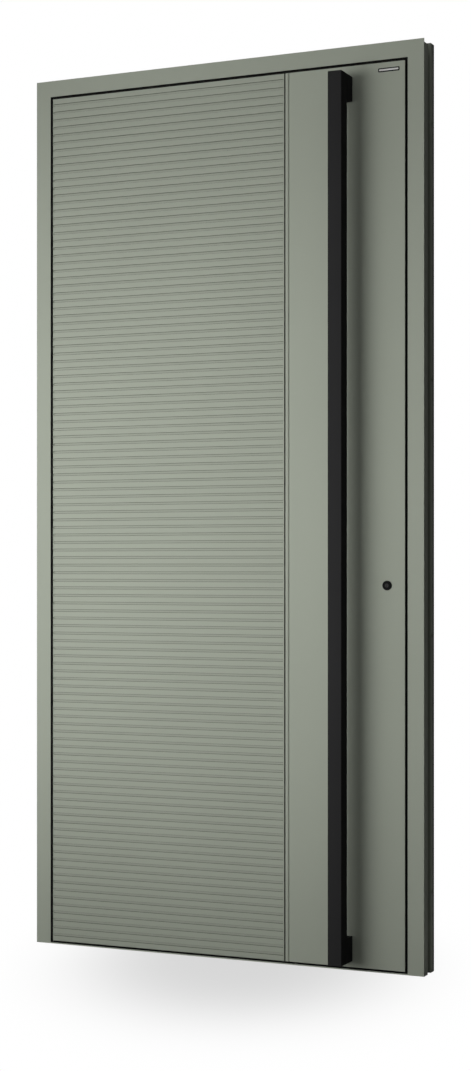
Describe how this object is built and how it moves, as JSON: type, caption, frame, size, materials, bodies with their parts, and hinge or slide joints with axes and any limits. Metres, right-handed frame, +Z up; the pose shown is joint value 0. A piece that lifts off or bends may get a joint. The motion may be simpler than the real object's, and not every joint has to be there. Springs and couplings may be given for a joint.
{
  "type": "aluminium front door with frame",
  "caption": "Flush aluminium front door in its frame, opening inwards: milled ribbed panel, smooth panel, full-height black pull bar, lock cylinder, inside lever and barrel hinges.",
  "frame": {"origin": "middle of the doorset's width and depth, on the threshold's flat underside", "axes": "+Z up, -Y outdoors, +X towards the lock side as seen from outdoors"},
  "size_m": [1.09, 0.208, 2.3],
  "materials": {
    "sage_coat": "matt fine-texture powder coat",
    "black_coat": "matt black powder coat",
    "seal_rubber": "matt EPDM",
    "break_plastic": "glass-fibre polyamide",
    "lock_steel": "brushed",
    "core_foam": "rigid foam",
    "plate_metal": "satin"
  },
  "bodies": {
    "frame": {"hinge_jamb": "sage_coat", "lock_jamb": "sage_coat", "frame_head": "sage_coat", "threshold": "sage_coat", "hinge_jamb_break": "break_plastic", "lock_jamb_break": "break_plastic", "head_break": "break_plastic", "threshold_break": "break_plastic", "hinge_jamb_cover": "black_coat", "lock_jamb_cover": "black_coat", "head_cover": "black_coat", "rebate_seal": "seal_rubber", "strike_plates": "lock_steel", "hinge_frame_wings": "black_coat", "hinge_pins": "lock_steel"},
    "leaf": {"ribbed_panel": "sage_coat", "smooth_panel": "sage_coat", "joint_strip": "seal_rubber", "inner_panel": "sage_coat", "leaf_core": "core_foam", "hinge_stile": "sage_coat", "lock_stile": "sage_coat", "top_rail": "sage_coat", "bottom_rail": "sage_coat", "leaf_break": "break_plastic", "drop_seal": "seal_rubber", "handle_bar": "black_coat", "upper_standoff": "black_coat", "lower_standoff": "black_coat", "plate_base": "black_coat", "plate_face": "plate_metal", "lock_faceplate": "lock_steel", "latch_bolt": "lock_steel", "dead_bolt": "lock_steel", "hook_bolts": "lock_steel", "cylinder_body": "black_coat", "outer_ring": "black_coat", "inner_rosette": "black_coat", "lever_rosette": "black_coat", "inside_lever": "black_coat", "hinge_leaf_wings": "black_coat"},
    "plug": {"cylinder_plug": "lock_steel"}
  },
  "joints": [
    {"name": "leaf_hinge", "type": "hinge", "parent": "frame", "child": "leaf", "pos_m": [-0.523, 0.0525, 1.15], "axis": [0, 0, 1], "range_deg": [0, 100]},
    {"name": "key_turn", "type": "hinge", "parent": "leaf", "child": "plug", "pos_m": [0.449, -0.0385, 0.958], "axis": [0, -1, 0], "continuous": true}
  ]
}
